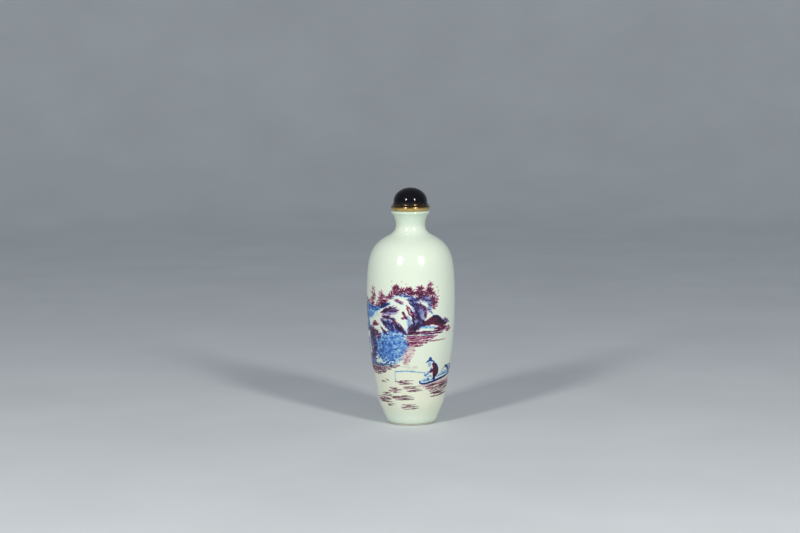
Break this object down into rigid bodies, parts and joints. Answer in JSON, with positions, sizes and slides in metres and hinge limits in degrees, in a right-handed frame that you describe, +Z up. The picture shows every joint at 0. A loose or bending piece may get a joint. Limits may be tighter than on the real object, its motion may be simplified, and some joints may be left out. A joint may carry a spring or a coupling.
{
  "type": "snuff bottle",
  "caption": "Tall slim porcelain snuff bottle with a painted river landscape, a short flared neck and a domed dark stopper in a gilt collar.",
  "frame": {"origin": "middle of the foot ring, on the surface that the bottle stands on", "axes": "+Z up the bottle's axis, -Y towards the middle of the painted scene, +X to the right as one faces the painting"},
  "size_m": [0.0318, 0.0318, 0.085],
  "materials": {
    "porcelain": "clear glossy glaze with a faint green tint over cobalt blue and copper red painting, bare biscuit on the foot ring",
    "gilt_metal": "polished gilt, a little worn",
    "dark_stone": "polished near-black purple stone or glass",
    "cork": "bare cork bark"
  },
  "bodies": {
    "root": {"bottle_body": "porcelain", "stopper_collar": "gilt_metal", "stopper_cabochon": "dark_stone", "stopper_cork": "cork"}
  },
  "joints": []
}
